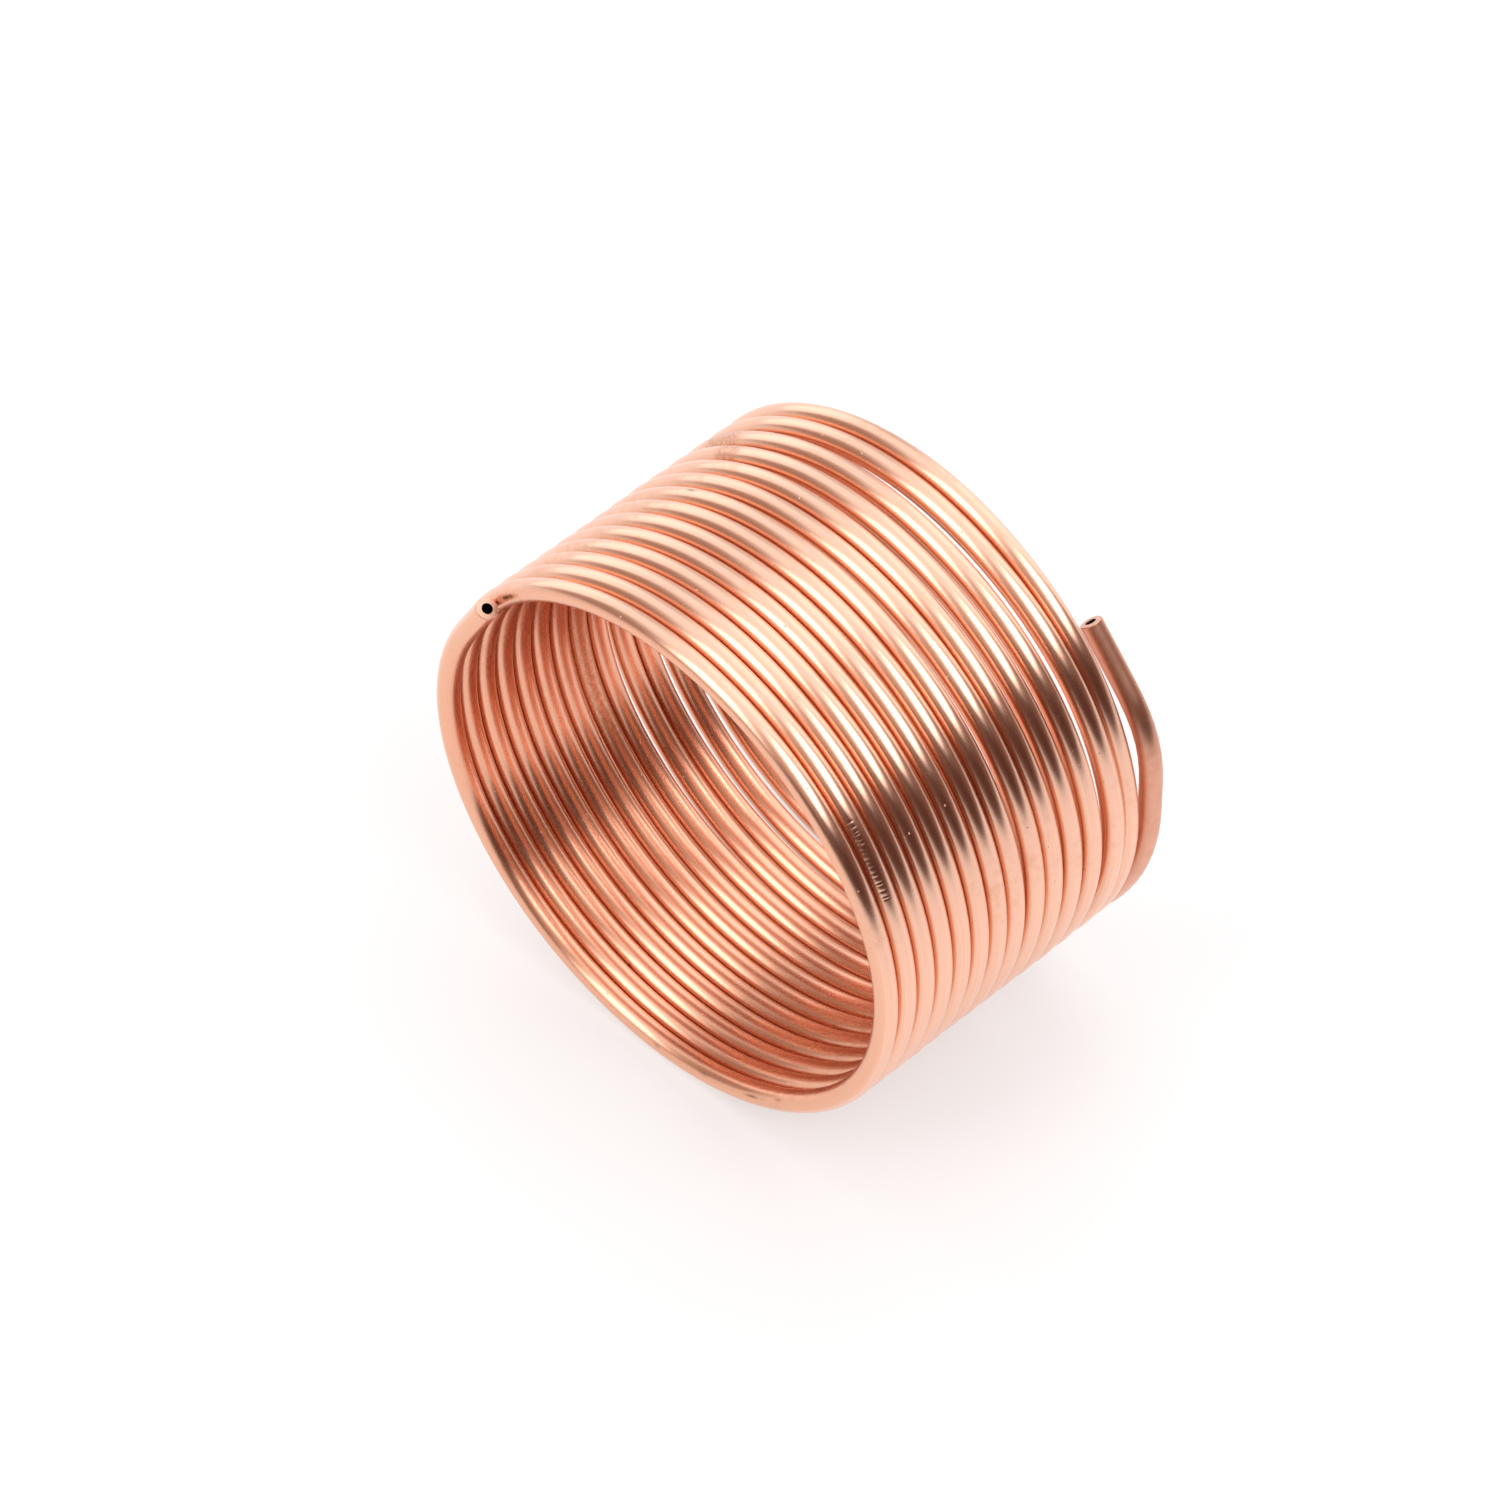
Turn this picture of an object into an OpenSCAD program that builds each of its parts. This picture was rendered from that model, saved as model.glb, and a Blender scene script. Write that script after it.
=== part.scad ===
// Copper capillary tube, drawn and wound as one layer of slightly open oval turns.
// The coil lies on its side: its axis runs along Y, the near end is at -Y and Z is up.
// The winding is left-handed, and both ends are straight and cut square.

/* [Tube] */
// Outside diameter of the tube
tube_od = 2; // [1.6:0.1:2.6]
// Wall thickness of the tube
tube_wall = 0.5; // [0.35:0.05:0.55]

/* [Coil] */
// Width of one turn, measured on the middle of the tube
coil_w = 50.4; // [40:0.1:64]
// Height of one turn, measured on the middle of the tube
coil_h = 47.8; // [38:0.1:60]
// How far the slopes of the oval lie inside a plain oval
oval_flat = 0.12; // [0:0.01:0.8]
// Number of turns between the straight ends
turns = 14.66; // [4:0.01:16]
// Free gap between turns at the near end
gap_near = 0.08; // [0.06:0.01:0.8]
// Free gap between turns at the far end
gap_far = 0.49; // [0.2:0.01:1.5]

/* [Uneven turns] */
// Share of the gap by which the eighth and ninth turns have parted on the right
parted = 0.46; // [0:0.01:0.5]
// Share of the gap by which the tenth turn crowds towards the near end
crowded = 0.36; // [0:0.01:0.4]
// Share of the gap by which the thirteenth turn has drifted towards the far end
drifted = 0.93; // [0:0.01:1]

/* [Ends] */
// Angle at which the near end leaves the coil, from the right side upwards
near_angle = 153.6; // [120:0.1:180]
// Straight length of the near end
near_straight = 4.8; // [3:0.1:12]
// How far the near end has been pressed into the coil
near_in = 0.4; // [0:0.1:1]
// Straight length of the far end
far_straight = 5; // [3:0.1:16]
// How far the last bend bulges out of the coil
far_out = 0.5; // [0:0.1:1]
// How far the far end turns back into the coil after that bend
far_in = 0.9; // [0:0.1:2]
// How far the far end stands away from the last turn
far_away = 0.5; // [0:0.1:4]

/* [Hidden] */
tube_r = tube_od / 2;
bore_r = tube_r - tube_wall;
// share of a turn over which each end moves off the regular coil
near_run = 0.3;
far_run = 0.08;
// where along the coil the uneven turns lie, counted in turns, and how far each spot reaches
parted_at = 7.67;
parted_run = 0.12;
crowded_at = 9.9;
crowded_run = 0.6;
drifted_at = 12.5;
drifted_run = 0.5;
// facets of the swept length: sides of the outside and of the bore, and rings to a turn
outer_sides = 10;
bore_sides = 5;
rings_per_turn = 24;
// the bend before the far end has closer rings
bend_reach = 40;
bend_step = 5;
// the sweep stays just inside the skin of the exact ends that it runs into
sweep_r = 0.995 * tube_r;
sweep_bore_r = 1.01 * bore_r / cos(180 / bore_sides);
lap = 1;

start = near_angle;
end = near_angle + 360 * turns;

function unit(v) = v / norm(v);

// a smooth spot, 1 in its middle
function spot(n, at, run) = exp(-pow((n - at) / run, 2));

// middle of the tube at an angle counted on through the turns
function path(a) =
    let (
        n = (a - start) / 360,
        s = n / turns,
        first = max(0, 1 - n / near_run),
        last = max(0, 1 - (turns - n) / far_run),
        oval = (coil_w + coil_h) / 4 + (coil_w - coil_h) / 4 * cos(2 * a),
        bulge = 16 * pow(last * (1 - last), 2),
        r = oval - oval_flat / 2 * (1 - cos(4 * a)) - near_in * first * first
            + far_out * bulge - far_in * last * last,
        even = n * (tube_od + gap_near) + (gap_far - gap_near) * n * s * s / 3,
        gap = gap_near + (gap_far - gap_near) * s * s,
        uneven = parted * (spot(n, parted_at + 1, parted_run) - spot(n, parted_at, parted_run))
            - crowded * spot(n, crowded_at, crowded_run) + drifted * spot(n, drifted_at, drifted_run)
    )
    [r * cos(a), even + gap * uneven + far_away * last * last * (3 - 2 * last), r * sin(a)];

function heading(a) = unit(path(a + 0.05) - path(a - 0.05));

// one ring of points around the middle of the tube
function ring(p, t, a, r, sides) =
    let (
        radial = [cos(a), 0, sin(a)],
        out = unit(radial - (radial * t) * t),
        side = cross(t, out)
    )
    [for (i = [0 : sides - 1]) p + r * (out * cos(360 * i / sides) + side * sin(360 * i / sides))];

// angles of the rings: both ends of the coil, and even steps that repeat on every turn,
// with a flat between two rings at the bottom, where the coil rests
step = 360 / rings_per_turn;
bend = end - bend_reach;
angles = concat(
    [start],
    [for (i = [ceil(start / step - 0.1) : floor(bend / step - 0.9)]) (i + 0.5) * step],
    [for (a = [bend : bend_step : end + 0.01]) a]
);
near_p = path(start);
near_t = -heading(start);
far_p = path(end);
far_t = heading(end);

// the path of the sweep reaches into both straight ends
stations = concat(
    [[near_p + lap * near_t, -near_t, start]],
    [for (a = angles) [path(a), heading(a), a]],
    [[far_p + lap * far_t, far_t, end]]
);
count = len(stations);
outside = [for (s = stations) each ring(s[0], s[1], s[2], sweep_r, outer_sides)];
bore = [for (s = stations) each ring(s[0], s[1], s[2], sweep_bore_r, bore_sides)];

// size of the whole piece, which places the origin under its middle
function reach(p, t, i) = [p[i] - tube_r * sqrt(1 - t[i] * t[i]), p[i] + tube_r * sqrt(1 - t[i] * t[i])];
tips = [[near_p + near_straight * near_t, near_t], [far_p + far_straight * far_t, far_t],
    [near_p + lap * near_t, near_t], [far_p + lap * far_t, far_t]];
function spread(i) = concat([for (p = outside) p[i]], [for (e = tips) each reach(e[0], e[1], i)]);
low = [for (i = [0 : 2]) min(spread(i))];
high = [for (i = [0 : 2]) max(spread(i))];

// faces of the wall between two neighbouring rings, seen from outside the metal
function skin(first, sides, flip) =
    [for (k = [0 : count - 2], i = [0 : sides - 1])
        let (
            a = first + k * sides + i,
            b = first + k * sides + (i + 1) % sides,
            quad = [a, b, b + sides, a + sides]
        )
        each flip
            ? [[quad[0], quad[2], quad[1]], [quad[0], quad[3], quad[2]]]
            : [[quad[0], quad[1], quad[2]], [quad[0], quad[2], quad[3]]]];

// the ring-shaped face that closes the wall at one end, as triangles between the two outlines
function closing(k, flip) =
    let (
        o = k * outer_sides,
        b = count * outer_sides + k * bore_sides
    )
    concat(
        [for (i = [0 : outer_sides - 1])
            let (
                j = floor((i + 0.5) * bore_sides / outer_sides + 0.5) % bore_sides,
                f = [o + i, o + (i + 1) % outer_sides, b + j]
            )
            flip ? [f[0], f[2], f[1]] : f],
        [for (j = [0 : bore_sides - 1])
            let (
                i = ceil((j + 0.5) * outer_sides / bore_sides - 0.5) % outer_sides,
                f = [b + j, o + i, b + (j + 1) % bore_sides]
            )
            flip ? [f[0], f[2], f[1]] : f]
    );

module wound_length() {
    polyhedron(
        points = concat(outside, bore),
        faces = concat(
            skin(0, outer_sides, true),
            skin(count * outer_sides, bore_sides, false),
            closing(0, false),
            closing(count - 1, true)
        ),
        convexity = 20
    );
}

module straight_end(p, t, length) {
    translate(p + 0.3 * lap * t)
        rotate([0, acos(t[2]), atan2(t[1], t[0])])
            difference() {
                cylinder(h = length - 0.3 * lap, r = tube_r, $fn = 64);
                translate([0, 0, -1])
                    cylinder(h = length + 2, r = bore_r, $fn = 64);
            }
}

module capillary_tube() {
    color([0.86, 0.56, 0.42])
        translate([-(low[0] + high[0]) / 2, -(low[1] + high[1]) / 2, -low[2]])
            union() {
                wound_length();
                straight_end(near_p, near_t, near_straight);
                straight_end(far_p, far_t, far_straight);
            }
}

capillary_tube();
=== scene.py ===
import math
import bpy
import numpy as np
from mathutils import Matrix, Vector


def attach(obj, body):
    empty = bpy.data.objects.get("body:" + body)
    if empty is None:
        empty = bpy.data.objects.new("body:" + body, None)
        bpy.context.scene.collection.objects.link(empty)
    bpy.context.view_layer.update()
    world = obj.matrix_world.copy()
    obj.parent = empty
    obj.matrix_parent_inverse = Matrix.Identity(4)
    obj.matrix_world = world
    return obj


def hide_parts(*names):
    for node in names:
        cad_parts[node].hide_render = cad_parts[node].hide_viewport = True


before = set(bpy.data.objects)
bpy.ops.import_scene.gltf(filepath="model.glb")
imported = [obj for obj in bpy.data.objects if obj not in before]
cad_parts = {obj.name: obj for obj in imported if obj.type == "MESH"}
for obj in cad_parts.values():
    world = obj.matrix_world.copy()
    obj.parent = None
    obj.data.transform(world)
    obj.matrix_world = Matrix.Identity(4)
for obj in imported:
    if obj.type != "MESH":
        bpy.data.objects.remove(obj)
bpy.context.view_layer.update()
MM = 0.001
MICRON = 0.000001

# sizes of the part, in millimetres, as in its source
TUBE_R, BORE_R = 1.0, 0.5
COIL_W, COIL_H, OVAL_FLAT = 50.4, 47.8, 0.12
TURNS, GAP_NEAR, GAP_FAR = 14.66, 0.08, 0.49
PARTED, PARTED_AT, PARTED_RUN = 0.46, 7.67, 0.12
CROWDED, CROWDED_AT, CROWDED_RUN = 0.36, 9.9, 0.6
DRIFTED, DRIFTED_AT, DRIFTED_RUN = 0.93, 12.5, 0.5
NEAR_ANGLE, NEAR_STRAIGHT, NEAR_IN, NEAR_RUN = 153.6, 4.8, 0.4, 0.3
FAR_STRAIGHT, FAR_OUT, FAR_IN, FAR_AWAY, FAR_RUN = 5.0, 0.5, 0.9, 0.5, 0.08
START, END = NEAR_ANGLE, NEAR_ANGLE + 360 * TURNS
AXIS_H = COIL_H / 2 + TUBE_R

# small shifts of the turns that the source leaves out, in millimetres, with their places in turns:
# the last full turn is pressed in below the far end
PRESSED, PRESSED_AT, PRESSED_RUN = 0.4, TURNS - 1.04, 0.09
# and some turns have parted on the left side: place, shift outwards and shift along the axis
LEFT_RUN = 0.085
LEFT_SPOTS = (
    (8.16, 0.06, -0.08),
    (9.16, -0.06, 0.08),
    (10.15, 0.0, -0.03),
    (11.15, -0.03, 0.07),
)
# hand-wound turns waver: largest shift outwards and along the axis, and the lengths of the waves
WAVER_OUT, WAVER_ALONG, WAVES = 0.05, 0.012, (19.0, 31.0, 47.0, 83.0)
OUT_SEED, ALONG_SEED = 3, 4

# fineness of the mesh: sides of the outside and the bore, and distances between rings in millimetres
SIDES, BORE_SIDES = 32, 12
RING_STEP, MARK_STEP, LEAST_STEP = 1.4, 0.05, 0.02
# fineness of the traced path: millimetres on the straight ends and degrees on the turns
TRACE_STEP, ANGLE_STEP, HEADING_STEP = 0.05, 0.1, 0.05

# the cut ends are broken at the edge: distance from the end and share of the full radius
EDGE_RINGS = ((0.0, 0.94), (0.04, 0.98), (0.10, 1.0), (0.16, 1.0), (0.34, 1.0))
# the far end was cut a little out of square: degrees, the side that lies back, counted around the tube,
# and the length in millimetres that takes it up
CUT_TILT, CUT_SIDE, CUT_REACH = 5.5, -31.0, 0.3
# darkening of the two cut rims, uneven around each, least and most, and the dark bore
RIM_DARK, RIM_SEED, BORE_DARK = (0.0, 0.6), 11, 0.8

# row left by a plier's jaw: its place along the tube in millimetres and around it in radians from the
# outward side, how far single marks stray, and the least and most of each of their measures
PLIER_FIRST, PLIER_LAST, PLIER_MARKS, PLIER_AROUND = 258.0, 265.0, 18, -0.60
PLIER_STRAY, PLIER_SWING, PLIER_SEED = 0.10, 0.06, 7
PLIER_HALF_LENGTH, PLIER_HALF_WIDTH = (0.05, 0.08), (0.11, 0.16)
PLIER_DEPTH, PLIER_SHADE = (0.025, 0.045), (0.2, 0.7)
# single marks: place along the tube, place around it, half length along, half width around, depth and
# how dark it is
SCRATCHES = (
    (1222.4, -0.05, 0.55, 0.10, 0.03, 0.9),
    (54.6, -1.9, 0.35, 0.09, 0.02, 0.7),
    (60.2, -2.1, 0.50, 0.09, 0.02, 0.6),
    (66.3, -2.0, 0.80, 0.10, 0.02, 0.8),
    (70.0, -2.1, 0.40, 0.09, 0.02, 0.8),
    (151.2, -1.6, 0.25, 0.16, 0.02, 0.1),
    (152.9, -1.55, 0.25, 0.18, 0.02, 0.1),
    (355.0, -1.86, 0.15, 0.15, 0.02, 0.5),
)


def unit(v):
    return v / np.linalg.norm(v, axis=-1, keepdims=True)


def spot(n, at, run):
    """A smooth spot, 1 in its middle."""
    return np.exp(-((n - at) / run) ** 2)


def coil_path(a):
    """Middle of the tube, in millimetres from the coil's axis, at degrees counted on through the turns."""
    t = np.radians(a)
    n = (a - START) / 360
    s = n / TURNS
    first = np.clip(1 - n / NEAR_RUN, 0, None)
    last = np.clip(1 - (TURNS - n) / FAR_RUN, 0, None)
    oval = (COIL_W + COIL_H) / 4 + (COIL_W - COIL_H) / 4 * np.cos(2 * t)
    bulge = 16 * (last * (1 - last)) ** 2
    r = oval - OVAL_FLAT / 2 * (1 - np.cos(4 * t)) - NEAR_IN * first ** 2
    r = r + FAR_OUT * bulge - FAR_IN * last ** 2
    r = r - PRESSED * spot(n, PRESSED_AT, PRESSED_RUN)
    even = n * (2 * TUBE_R + GAP_NEAR) + (GAP_FAR - GAP_NEAR) * n * s * s / 3
    gap = GAP_NEAR + (GAP_FAR - GAP_NEAR) * s * s
    uneven = PARTED * (spot(n, PARTED_AT + 1, PARTED_RUN) - spot(n, PARTED_AT, PARTED_RUN))
    uneven = uneven - CROWDED * spot(n, CROWDED_AT, CROWDED_RUN)
    uneven = uneven + DRIFTED * spot(n, DRIFTED_AT, DRIFTED_RUN)
    y = even + gap * uneven + FAR_AWAY * last ** 2 * (3 - 2 * last)
    for at, out, aside in LEFT_SPOTS:
        r = r + out * spot(n, at, LEFT_RUN)
        y = y + aside * spot(n, at, LEFT_RUN)
    return np.stack([r * np.cos(t), y, r * np.sin(t)], axis=1)


def heading_at(a):
    ahead = coil_path(np.array([a + HEADING_STEP]))
    behind = coil_path(np.array([a - HEADING_STEP]))
    return unit(ahead - behind)


def trace():
    """Close points along the whole tube, straight ends included, with the angle of each."""
    turned = np.append(np.arange(START, END, ANGLE_STEP), END)
    curve = coil_path(turned)
    near = np.arange(NEAR_STRAIGHT, 0, -TRACE_STEP)
    far = np.append(np.arange(TRACE_STEP, FAR_STRAIGHT, TRACE_STEP), FAR_STRAIGHT)
    near_line = curve[0] - near[:, None] * heading_at(START)
    far_line = curve[-1] + far[:, None] * heading_at(END)
    ends = np.full(len(near), START), np.full(len(far), END)
    return np.concatenate([near_line, curve, far_line]), np.concatenate([ends[0], turned, ends[1]])


# the whole tube, placed with its coil over the origin and standing on the floor
points, angles = trace()
low, high = points.min(0) - TUBE_R, points.max(0) + TUBE_R
offset = np.array([-(low[0] + high[0]) / 2, -(low[1] + high[1]) / 2, AXIS_H])
points = points + offset
headings = unit(np.gradient(points, axis=0))
lengths = np.concatenate([[0], np.cumsum(np.linalg.norm(np.diff(points, axis=0), axis=1))])
TUBE_L = lengths[-1]


def plier_row():
    """The row of marks left by a plier's jaw, in the same form as the single scratches."""
    rng = np.random.default_rng(PLIER_SEED)
    row = []
    for k in range(PLIER_MARKS):
        at = PLIER_FIRST + (PLIER_LAST - PLIER_FIRST) * k / (PLIER_MARKS - 1)
        at = at + rng.uniform(-PLIER_STRAY, PLIER_STRAY)
        around = PLIER_AROUND + rng.uniform(-PLIER_SWING, PLIER_SWING)
        half_length = rng.uniform(*PLIER_HALF_LENGTH)
        half_width = rng.uniform(*PLIER_HALF_WIDTH)
        depth = rng.uniform(*PLIER_DEPTH)
        row.append((at, around, half_length, half_width, depth, rng.uniform(*PLIER_SHADE)))
    return row


def ring_places(marks):
    """Distances along the tube at which the mesh has a ring: close together at the marks."""
    places = [np.linspace(0, TUBE_L, int(TUBE_L / RING_STEP))]
    places += [np.arange(m[0] - 2 * m[2], m[0] + 2 * m[2], MARK_STEP) for m in marks]
    edge = np.array([d for d, _ in EDGE_RINGS])
    places = np.unique(np.round(np.concatenate(places + [edge, TUBE_L - edge]), 4))
    keep = np.append(True, np.diff(places) > LEAST_STEP)
    keep[-1] = True
    return places[keep]


def along(values, places):
    return np.stack([np.interp(places, lengths, column) for column in values.T], axis=1)


def waver(places, seed):
    """Smooth random swing between about -1 and 1 along the tube."""
    rng = np.random.default_rng(seed)
    swing = sum(np.sin(2 * math.pi * places / wave + rng.uniform(0, 2 * math.pi)) for wave in WAVES)
    return swing / len(WAVES)


def edge_share(places):
    """Share of the full radius near the two cut ends."""
    from_end = np.minimum(places, TUBE_L - places)
    return np.interp(from_end, [d for d, _ in EDGE_RINGS], [share for _, share in EDGE_RINGS])


def ring_frames(places):
    """Middle, heading, outward and sideways direction of each ring."""
    heading = unit(along(headings, places))
    turned = np.radians(np.interp(places, lengths, angles))
    radial = np.stack([np.cos(turned), 0 * turned, np.sin(turned)], axis=1)
    out = unit(radial - (radial * heading).sum(1, keepdims=True) * heading)
    side = np.cross(heading, out)
    middle = along(points, places) + WAVER_OUT * waver(places, OUT_SEED)[:, None] * out
    middle = middle + WAVER_ALONG * waver(places, ALONG_SEED)[:, None] * side
    return middle, heading, out, side


def around_tube(sides):
    """Angles around the tube. The first faces the next turn, where the seam of the map is out of sight."""
    return math.pi / 2 + np.arange(sides) * 2 * math.pi / sides


def sweep(places, frames, radius):
    """Points of all rings, one ring after the other, with the far cut out of square."""
    middle, heading, out, side = frames
    phi = around_tube(radius.shape[1])
    ring = out[:, None] * np.cos(phi)[None, :, None] + side[:, None] * np.sin(phi)[None, :, None]
    cut = np.clip(1 - (TUBE_L - places) / CUT_REACH, 0, 1) * math.tan(math.radians(CUT_TILT))
    lies_back = cut[:, None] * np.cos(phi - math.radians(CUT_SIDE))[None, :] * radius
    spots = middle[:, None] + radius[:, :, None] * ring - lies_back[:, :, None] * heading[:, None]
    return spots.reshape(-1, 3)


def outside(places, marks):
    """Radius and darkness of each point of the outside, with the marks and the broken rims, darkened
    unevenly.
    """
    radius = np.repeat(TUBE_R * edge_share(places)[:, None], SIDES, axis=1)
    dark = np.zeros((len(places), SIDES))
    from_out = (around_tube(SIDES) + math.pi) % (2 * math.pi) - math.pi
    for at, around, half_length, half_width, depth, shade in marks:
        lengthways = ((places - at) / half_length)[:, None] ** 2
        crossways = ((from_out - around) / half_width)[None, :] ** 2
        shape = np.exp(-lengthways - crossways)
        radius -= depth * shape
        dark = np.maximum(dark, shade * shape)
    rng = np.random.default_rng(RIM_SEED)
    dark[0] = rng.uniform(*RIM_DARK, SIDES)
    dark[-1] = rng.uniform(*RIM_DARK, SIDES)
    return radius, dark


def map_place(places, k, part):
    """Metres along the tube at ring k, and metres around it at a part of the full round."""
    return places[k] * MM, 2 * math.pi * TUBE_R * part * MM


def wall_faces(places, first, sides, inward):
    """Quads between neighbouring rings, with the place of each corner on the map."""
    faces, uvs = [], []
    for k in range(len(places) - 1):
        for i in range(sides):
            a = first + k * sides + i
            b = first + k * sides + (i + 1) % sides
            quad = [a, b, b + sides, a + sides]
            corners = [(k, i), (k, i + 1), (k + 1, i + 1), (k + 1, i)]
            if inward:
                quad.reverse()
                corners.reverse()
            faces.append(quad)
            uvs.extend(map_place(places, ring, p / sides) for ring, p in corners)
    return faces, uvs


def cut_faces(places, k, far):
    """The ring-shaped cut face at ring k, as triangles between its two outlines."""
    outer = k * SIDES
    bore = len(places) * SIDES + k * BORE_SIDES
    faces, uvs = [], []
    i = j = 0
    while i < SIDES or j < BORE_SIDES:
        if j == BORE_SIDES or (i < SIDES and (i + 0.5) / SIDES <= (j + 0.5) / BORE_SIDES):
            face = [outer + i, outer + (i + 1) % SIDES, bore + j % BORE_SIDES]
            i += 1
        else:
            face = [outer + i % SIDES, bore + (j + 1) % BORE_SIDES, bore + j]
            j += 1
        if not far:
            face.reverse()
        faces.append(face)
        uvs.extend(map_place(places, k, v / SIDES) for v in range(3))
    return faces, uvs


def build_tube(name):
    marks = plier_row() + list(SCRATCHES)
    places = ring_places(marks)
    count = len(places)
    frames = ring_frames(places)
    radius, dark = outside(places, marks)
    bore = np.full((count, BORE_SIDES), BORE_R)
    verts = np.concatenate([sweep(places, frames, radius), sweep(places, frames, bore)]) * MM
    groups = (
        wall_faces(places, 0, SIDES, False),
        wall_faces(places, count * SIDES, BORE_SIDES, True),
        cut_faces(places, 0, False),
        cut_faces(places, count - 1, True),
    )
    faces = [face for group, _ in groups for face in group]
    uvs = [uv for _, group in groups for uv in group]
    mesh = bpy.data.meshes.new(name)
    mesh.from_pydata(verts.tolist(), [], faces)
    layer = mesh.uv_layers.new(name="tube")
    layer.data.foreach_set("uv", np.array(uvs, np.float32).ravel())
    mark = mesh.attributes.new("mark", "FLOAT", "POINT")
    mark.data.foreach_set("value", np.append(dark.ravel(), np.full(count * BORE_SIDES, BORE_DARK)))
    mesh.materials.append(drawn_copper())
    mesh.materials.append(cut_copper())
    mesh.shade_smooth()
    walls = len(groups[0][0]) + len(groups[1][0])
    for face in mesh.polygons[walls:]:
        face.use_smooth = False
        face.material_index = 1
    mesh.update()
    obj = bpy.data.objects.new(name, mesh)
    bpy.context.scene.collection.objects.link(obj)
    return obj


# helpers for node trees
def add(tree, kind, **settings):
    node = tree.nodes.new(kind)
    for key, value in settings.items():
        setattr(node, key, value)
    return node


def feed(tree, socket, value):
    """Link a socket to another one's output, or set it to a plain value."""
    if isinstance(value, bpy.types.NodeSocket):
        tree.links.new(value, socket)
    else:
        socket.default_value = value


def math_node(tree, operation, *values):
    node = add(tree, "ShaderNodeMath", operation=operation)
    for socket, value in zip(node.inputs, values):
        feed(tree, socket, value)
    return node.outputs[0]


def times(tree, first, second):
    return math_node(tree, "MULTIPLY", first, second)


def plus_times(tree, base, value, factor):
    """The base, and a value that is first multiplied by a factor."""
    return math_node(tree, "MULTIPLY_ADD", value, factor, base)


def ramp_up(tree, value, start, end, low=0.0, high=1.0):
    """Smooth step from low at the start to high at the end."""
    node = add(tree, "ShaderNodeMapRange", interpolation_type="SMOOTHSTEP")
    names = ("Value", "From Min", "From Max", "To Min", "To Max")
    for key, v in zip(names, (value, start, end, low, high)):
        feed(tree, node.inputs[key], v)
    return node.outputs["Result"]


def blend(tree, share, first, second):
    """Colour between two colours."""
    node = add(tree, "ShaderNodeMix", data_type="RGBA")
    feed(tree, node.inputs["Factor"], share)
    feed(tree, node.inputs["A"], first)
    feed(tree, node.inputs["B"], second)
    return node.outputs["Result"]


def noise(tree, vector, scale, detail=2.0, rough=0.5):
    node = add(tree, "ShaderNodeTexNoise")
    feed(tree, node.inputs["Vector"], vector)
    node.inputs["Scale"].default_value = scale
    node.inputs["Detail"].default_value = detail
    node.inputs["Roughness"].default_value = rough
    return node.outputs["Fac"]


def stretched_noise(tree, vector, stretch, detail):
    node = add(tree, "ShaderNodeMapping")
    feed(tree, node.inputs["Vector"], vector)
    node.inputs["Scale"].default_value = stretch
    return noise(tree, node.outputs[0], 1.0, detail)


def bump(tree, bsdf, height, distance):
    node = add(tree, "ShaderNodeBump")
    node.inputs["Distance"].default_value = distance
    feed(tree, node.inputs["Height"], height)
    tree.links.new(node.outputs[0], bsdf.inputs["Normal"])


def new_material(name):
    mat = bpy.data.materials.new(name)
    mat.use_nodes = True
    return mat, mat.node_tree, mat.node_tree.nodes["Principled BSDF"]


# colours of the copper
BRIGHT = (0.94, 0.57, 0.425, 1)
# painted reflection: colour of the side that faces the inside of the coil, redder for the light the turns
# throw on each other
INNER_PAINTED_REFLECTION = (0.93, 0.49, 0.335, 1)
BROWN = (0.78, 0.40, 0.25, 1)
# painted shade: colour for the flanks that face the neighbouring turns, standing in for the shade in the
# creases between turns
FLANK_PAINTED_SHADE = (0.80, 0.38, 0.22, 1)
DULL = (0.72, 0.36, 0.25, 1)
STAIN = (0.55, 0.22, 0.11, 1)
SOOT = (0.09, 0.035, 0.02, 1)
CUT_PALE, CUT_BROWN = (0.76, 0.49, 0.395, 1), (0.62, 0.34, 0.24, 1)
# patterns: periods in a metre, along and around the tube for the draw lines
LINES, HAIRS = (25, 7000, 1), (90, 17000, 1)
BLOTCH, MOTTLE, GRAIN, FLECK, CUT_GRAIN = 90.0, 1100.0, 9000.0, 3500.0, 7000.0
# pits: cells in a metre, radius in cells, and the share of cells without one
PIT_CELLS, PIT_SIZE, PIT_FREE = 1300.0, 0.13, 0.83
# the far end is duller from here on, in metres along the tube
DULL_FROM, DULL_TO = (TUBE_L - 42) * MM, (TUBE_L - 20) * MM
# painted reflection: the side that faces the inside of the coil is coloured redder and a little darker,
# standing in for the copper-red light that the turns throw on each other there. Where that starts and ends,
# in metres around
INNER_FROM, INNER_TO = (0.2 * MM, 1.0 * MM), (3.0 * MM, 2.2 * MM)
# painted shade: the flanks that face the neighbouring turns are coloured browner and darker, standing in
# for the shade in the creases between turns. Cosine of twice the angle from the middle of each of these
# flanks
FLANK_SHADE_RAMP = (-0.2, 0.9)
# matt brown stains: place along the tube and half length, in metres, and whether it faces the inside
STAINS = ((1.102, 0.010, True), (1.845, 0.0035, False), (1.687, 0.002, False))
# how much each pattern shows in the colour, and what it adds to the roughness
TARNISH_SHOWS, STREAK_SHOWS, FLANK_SHADE_SHOWS, STAIN_SHOWS, PIT_SHOWS = 0.6, 0.25, 0.5, 0.7, 0.25
LINES_ROUGH, TARNISH_ROUGH, STAIN_ROUGH, INNER_ROUGH, DULL_ROUGH = (0.22, 0.26), 0.04, 0.12, 0.03, 0.13
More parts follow.
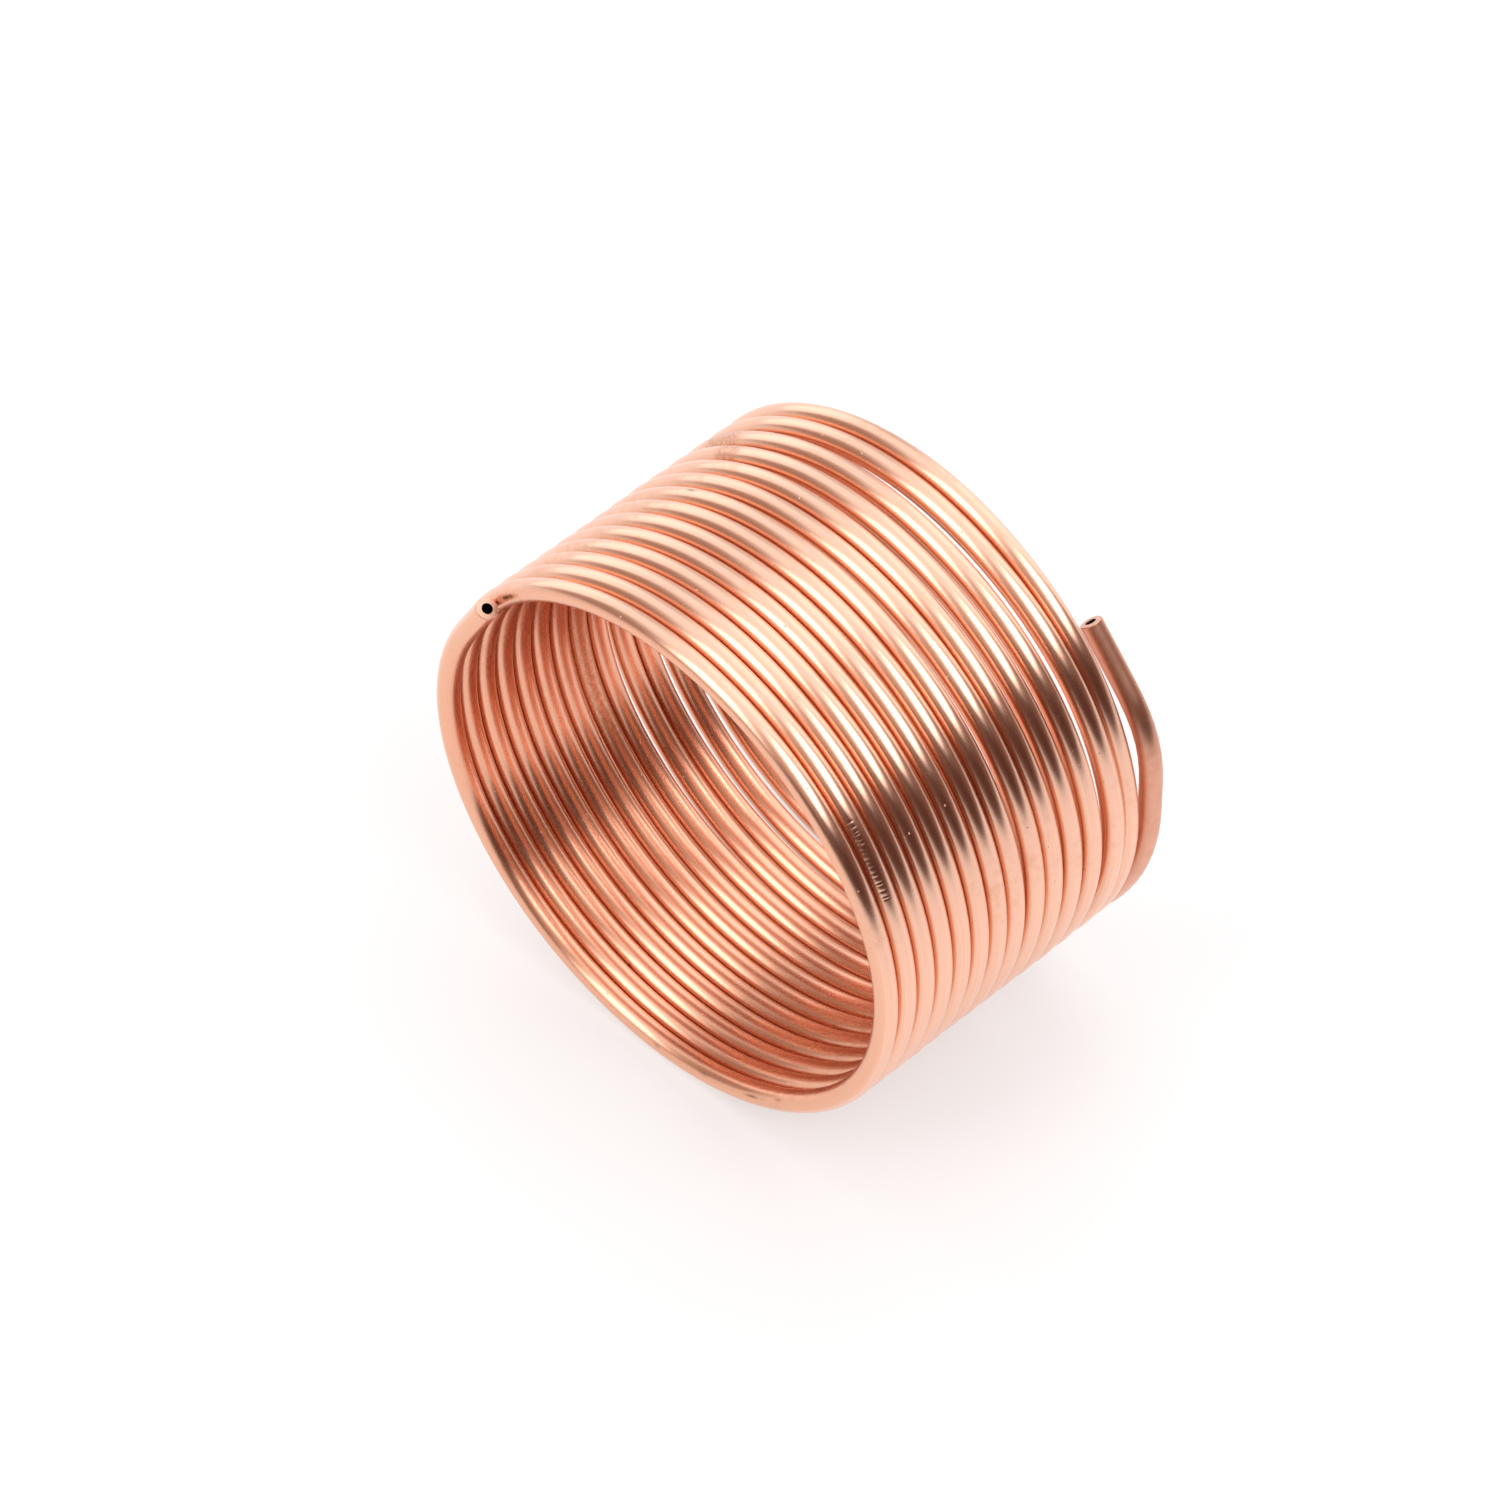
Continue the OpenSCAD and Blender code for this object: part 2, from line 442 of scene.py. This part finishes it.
# heights in thousandths of a millimetre
LINES_HIGH, HAIRS_HIGH, GRAIN_HIGH, PIT_HIGH, CUT_HIGH = 0.7, 0.3, (0.5, 2.2), -26.0, 10
# the draw lines spread reflections around the tube: a quarter turn from the map's own direction
SPREAD, SPREAD_TURN = 0.7, 0.25


def pits(tree, vector):
    """Small round spots, 1 in the middle, in some of the cells of a random grid."""
    cells = add(tree, "ShaderNodeTexVoronoi")
    feed(tree, cells.inputs["Vector"], vector)
    cells.inputs["Scale"].default_value = PIT_CELLS
    pick = add(tree, "ShaderNodeSeparateColor")
    tree.links.new(cells.outputs["Color"], pick.inputs[0])
    some = math_node(tree, "GREATER_THAN", pick.outputs[0], PIT_FREE)
    return times(tree, some, ramp_up(tree, cells.outputs["Distance"], PIT_SIZE, 0.0))


def stains(tree, place, inner, solid):
    """Flecked matt patches, each on one side of the tube."""
    outer = math_node(tree, "SUBTRACT", 1.0, inner)
    stain = 0.0
    for at, half, inside in STAINS:
        off = math_node(tree, "ABSOLUTE", math_node(tree, "SUBTRACT", place["X"], at))
        patch = times(tree, ramp_up(tree, off, half, half / 2), inner if inside else outer)
        stain = math_node(tree, "MAXIMUM", patch, stain)
    fleck = noise(tree, solid, FLECK, 2.0, 0.6)
    return times(tree, stain, ramp_up(tree, fleck, 0.25, 0.75, 0.2, 1.0))


def drawn_copper():
    """Bright drawn copper: fine lines along the tube, uneven brown tarnish, pits and a duller far end, with
    painted shade on the flanks between turns and a redder painted reflection on the side facing the inside
    of the coil.
    """
    mat, tree, bsdf = new_material("drawn_copper")
    uv = add(tree, "ShaderNodeUVMap", uv_map="tube").outputs[0]
    solid = add(tree, "ShaderNodeTexCoord").outputs["Object"]
    split = add(tree, "ShaderNodeSeparateXYZ")
    tree.links.new(uv, split.inputs[0])
    place = split.outputs
    lines = stretched_noise(tree, uv, LINES, 3.0)
    hairs = stretched_noise(tree, uv, HAIRS, 2.0)
    blotch = noise(tree, solid, BLOTCH, 4.0, 0.6)
    mottle = noise(tree, solid, MOTTLE, 4.0, 0.65)
    grain = noise(tree, solid, GRAIN, 2.0)
    pit = pits(tree, solid)
    mark = add(tree, "ShaderNodeAttribute", attribute_name="mark").outputs["Fac"]
    dull = ramp_up(tree, place["X"], DULL_FROM, DULL_TO)
    inner = times(tree, ramp_up(tree, place["Y"], *INNER_FROM), ramp_up(tree, place["Y"], *INNER_TO))
    stain = stains(tree, place, inner, solid)
    tarnish = plus_times(tree, times(tree, blotch, 0.6), mottle, 0.4)
    tarnish = ramp_up(tree, tarnish, 0.50, 0.70)

    streak = ramp_up(tree, lines, 0.35, 0.75, 0.0, STREAK_SHOWS)
    brown = math_node(tree, "MAXIMUM", times(tree, tarnish, TARNISH_SHOWS), streak)
    # painted shade: the flanks facing the neighbouring turns are blended towards a darker brown, standing
    # in for the shade in the creases between turns
    flank_shade = math_node(tree, "COSINE", times(tree, place["Y"], 2 / (TUBE_R * MM)))
    flank_shade = ramp_up(tree, flank_shade, *FLANK_SHADE_RAMP, 0.0, FLANK_SHADE_SHOWS)
    # painted reflection: the side facing the inside of the coil is blended towards a redder copper
    colour = blend(tree, flank_shade, blend(tree, inner, BRIGHT, INNER_PAINTED_REFLECTION), FLANK_PAINTED_SHADE)
    colour = blend(tree, brown, colour, BROWN)
    colour = blend(tree, times(tree, dull, ramp_up(tree, mottle, 0.3, 0.7, 0.7, 1.0)), colour, DULL)
    colour = blend(tree, times(tree, stain, STAIN_SHOWS), colour, STAIN)
    colour = blend(tree, times(tree, pit, PIT_SHOWS), colour, SOOT)
    feed(tree, bsdf.inputs["Base Color"], blend(tree, mark, colour, SOOT))
    bsdf.inputs["Metallic"].default_value = 1.0

    rough = plus_times(tree, ramp_up(tree, lines, 0.3, 0.7, *LINES_ROUGH), tarnish, TARNISH_ROUGH)
    rough = plus_times(tree, rough, stain, STAIN_ROUGH)
    rough = plus_times(tree, rough, inner, INNER_ROUGH)
    feed(tree, bsdf.inputs["Roughness"], plus_times(tree, rough, dull, DULL_ROUGH))
    tangent = add(tree, "ShaderNodeTangent", direction_type="UV_MAP", uv_map="tube")
    tree.links.new(tangent.outputs[0], bsdf.inputs["Tangent"])
    bsdf.inputs["Anisotropic"].default_value = SPREAD
    bsdf.inputs["Anisotropic Rotation"].default_value = SPREAD_TURN

    height = plus_times(tree, times(tree, lines, LINES_HIGH), hairs, HAIRS_HIGH)
    height = plus_times(tree, height, grain, ramp_up(tree, blotch, 0.45, 0.6, *GRAIN_HIGH))
    bump(tree, bsdf, plus_times(tree, height, pit, PIT_HIGH), MICRON)
    return mat


def cut_copper():
    """The sawn faces of the two ends: matt and scored."""
    mat, tree, bsdf = new_material("cut_copper")
    solid = add(tree, "ShaderNodeTexCoord").outputs["Object"]
    grain = noise(tree, solid, CUT_GRAIN, 4.0, 0.6)
    bsdf.inputs["Metallic"].default_value = 1.0
    feed(tree, bsdf.inputs["Base Color"], blend(tree, ramp_up(tree, grain, 0.35, 0.6), CUT_BROWN, CUT_PALE))
    feed(tree, bsdf.inputs["Roughness"], ramp_up(tree, grain, 0.3, 0.7, 0.3, 0.5))
    bump(tree, bsdf, grain, CUT_HIGH * MICRON)
    return mat


tube = build_tube("capillary_tube_copper")
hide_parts("capillary_tube")
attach(tube, "root")

# camera: the photo's viewing angle, aimed at a point on the coil's axis near its far end. Angles are in
# degrees and distances in millimetres, and the last two shift the camera right and up
AZ, EL, DIST, FOV, TX, TY = 45.101, 47.04, 620.409, 11.471, -3.996, 0.223
AIM_Y, SENSOR, CLIP = 16.5, 36, (0.01, 20)


def photo_camera():
    az, el = math.radians(AZ), math.radians(EL)
    back = Vector((math.sin(az) * math.cos(el), -math.cos(az) * math.cos(el), math.sin(el)))
    right = Vector((math.cos(az), math.sin(az), 0))
    up = back.cross(right)
    aim = Vector((float(offset[0]), AIM_Y + float(offset[1]), AXIS_H))
    place = (aim + back * DIST + right * TX + up * TY) * MM
    cam = bpy.data.cameras.new("camera")
    cam.sensor_width = SENSOR
    cam.sensor_fit = "HORIZONTAL"
    cam.lens = SENSOR / 2 / math.tan(math.radians(FOV / 2))
    cam.clip_start, cam.clip_end = CLIP
    camera = bpy.data.objects.new("camera", cam)
    camera.matrix_world = Matrix.Translation(place) @ Matrix((right, up, back)).transposed().to_4x4()
    bpy.context.scene.collection.objects.link(camera)
    return camera


bpy.context.scene.camera = photo_camera()

# floor: pale and slightly glossy. Near the object about half of it is plain white to the eye and in
# reflections, and its pale colour there has a slight pink tint, which is painted reflected light from the
# copper.
# It turns to light grey further out, which is painted shade for the dimmer light there. Distances are in
# metres
FLOOR_SIZE, FLOOR_CELLS, FLOOR_WHITE, FLOOR_ROUGH = 2.4, 4, 0.55, 0.35
FLOOR_NEAR_WITH_PAINTED_BOUNCE, FLOOR_FAR_PAINTED_SHADE = (0.955, 0.92, 0.93, 1), (0.55, 0.55, 0.55, 1)
FLOOR_FADE = (0.14, 0.6)


def white_floor():
    mat, tree, bsdf = new_material("floor_white")
    reach = add(tree, "ShaderNodeVectorMath", operation="LENGTH")
    feed(tree, reach.inputs[0], add(tree, "ShaderNodeTexCoord").outputs["Object"])
    fade = ramp_up(tree, reach.outputs["Value"], *FLOOR_FADE)
    # painted light: the pink tint near the object stands in for light reflected from the copper, and the
    # grey further out stands in for shade
    feed(tree, bsdf.inputs["Base Color"], blend(tree, fade, FLOOR_NEAR_WITH_PAINTED_BOUNCE, FLOOR_FAR_PAINTED_SHADE))
    bsdf.inputs["Roughness"].default_value = FLOOR_ROUGH
    path = add(tree, "ShaderNodeLightPath").outputs
    seen = math_node(tree, "ADD", path["Is Camera Ray"], path["Is Glossy Ray"])
    seen = math_node(tree, "MAXIMUM", seen, path["Is Transmission Ray"])
    share = times(tree, seen, math_node(tree, "MULTIPLY_ADD", fade, -FLOOR_WHITE, FLOOR_WHITE))
    glow = add(tree, "ShaderNodeEmission")
    glow.inputs["Strength"].default_value = 1.0
    mix = add(tree, "ShaderNodeMixShader")
    feed(tree, mix.inputs[0], share)
    tree.links.new(bsdf.outputs[0], mix.inputs[1])
    tree.links.new(glow.outputs[0], mix.inputs[2])
    tree.links.new(mix.outputs[0], tree.nodes["Material Output"].inputs["Surface"])
    return mat


bpy.ops.mesh.primitive_grid_add(
    x_subdivisions=FLOOR_CELLS,
    y_subdivisions=FLOOR_CELLS,
    size=FLOOR_SIZE,
    location=(0, 0, 0),
)
floor = bpy.context.active_object
floor.name = "floor"
floor.data.materials.append(white_floor())

# studio: a ceiling that darkens towards the floor, with panels around the object. Each panel has its
# middle and half its width in degrees to the right of the camera's side, its lower and upper edge in
# degrees above the floor, the softness of those edges across and upwards, and its colour
CEILING_EL, CEILING_LOW, CEILING_HIGH = (25, 68), (0.40, 0.28, 0.23, 1), (1.15, 1.15, 1.15, 1)
PANELS = (
    ("rear wall", 178.5, 60.5, -30, 100, 7, 6, (1.22, 1.22, 1.22, 1)),
    ("left wall", -149, 24, -30, 26, 8, 10, (1.55, 1.55, 1.55, 1)),
    ("back door", 171, 9, -30, 32, 6, 8, (0.75, 0.75, 0.75, 1)),
    ("right wall", 141, 21, 5, 72, 7, 8, (1.52, 1.52, 1.52, 1)),
    ("front gap", -16, 15, -30, 66, 8, 14, (0.60, 0.42, 0.34, 1)),
    ("low front", -20, 20, -30, 22, 10, 10, (0.12, 0.055, 0.038, 1)),
    ("front flag", 35, 38, -30, 37, 8, 4, (0.09, 0.038, 0.027, 1)),
    ("right flag", 88, 21, -30, 25, 8, 7, (0.18, 0.09, 0.065, 1)),
    ("left box", -60, 17, 18.5, 63, 5, 10, (2.9, 2.9, 2.9, 1)),
    ("overhead box", 55, 37.5, 37, 67, 9, 3.5, (3.1, 3.1, 3.1, 1)),
)


def rise(tree, height, start, end):
    """From 0 to 1 between two heights in degrees above the floor."""
    sines = [math.sin(math.radians(max(-90, min(90, degrees)))) for degrees in (start, end)]
    return ramp_up(tree, height, *sines)


def panel_share(tree, height, level_way, panel):
    """1 in the directions that a panel covers, with soft edges."""
    _, middle, half, lower, upper, soft, soft_up, _ = panel
    turn = math.radians(AZ - 90 + middle)
    dot = add(tree, "ShaderNodeVectorMath", operation="DOT_PRODUCT")
    tree.links.new(level_way, dot.inputs[0])
    dot.inputs[1].default_value = (math.cos(turn), math.sin(turn), 0)
    outer_edge, inner_edge = math.cos(math.radians(half + soft)), math.cos(math.radians(half - soft))
    across = ramp_up(tree, dot.outputs["Value"], outer_edge, inner_edge)
    over = rise(tree, height, lower - soft_up, lower + soft_up)
    if upper < 90:
        over = math_node(tree, "SUBTRACT", over, rise(tree, height, upper - soft_up, upper + soft_up))
    return times(tree, across, over)


def studio():
    world = bpy.data.worlds.new("studio")
    world.use_nodes = True
    tree = world.node_tree
    tree.nodes.clear()
    direction = add(tree, "ShaderNodeTexCoord").outputs["Generated"]
    split = add(tree, "ShaderNodeSeparateXYZ")
    tree.links.new(direction, split.inputs[0])
    height = split.outputs["Z"]
    flat = add(tree, "ShaderNodeVectorMath", operation="MULTIPLY")
    feed(tree, flat.inputs[0], direction)
    flat.inputs[1].default_value = (1, 1, 0)
    level_way = add(tree, "ShaderNodeVectorMath", operation="NORMALIZE")
    tree.links.new(flat.outputs[0], level_way.inputs[0])
    light = blend(tree, rise(tree, height, *CEILING_EL), CEILING_LOW, CEILING_HIGH)
    for panel in PANELS:
        light = blend(tree, panel_share(tree, height, level_way.outputs[0], panel), light, panel[-1])
    shine = add(tree, "ShaderNodeBackground")
    feed(tree, shine.inputs["Color"], light)
    out = add(tree, "ShaderNodeOutputWorld")
    tree.links.new(shine.outputs[0], out.inputs[0])
    return world


scene = bpy.context.scene
scene.world = studio()
scene.view_settings.view_transform = "Standard"
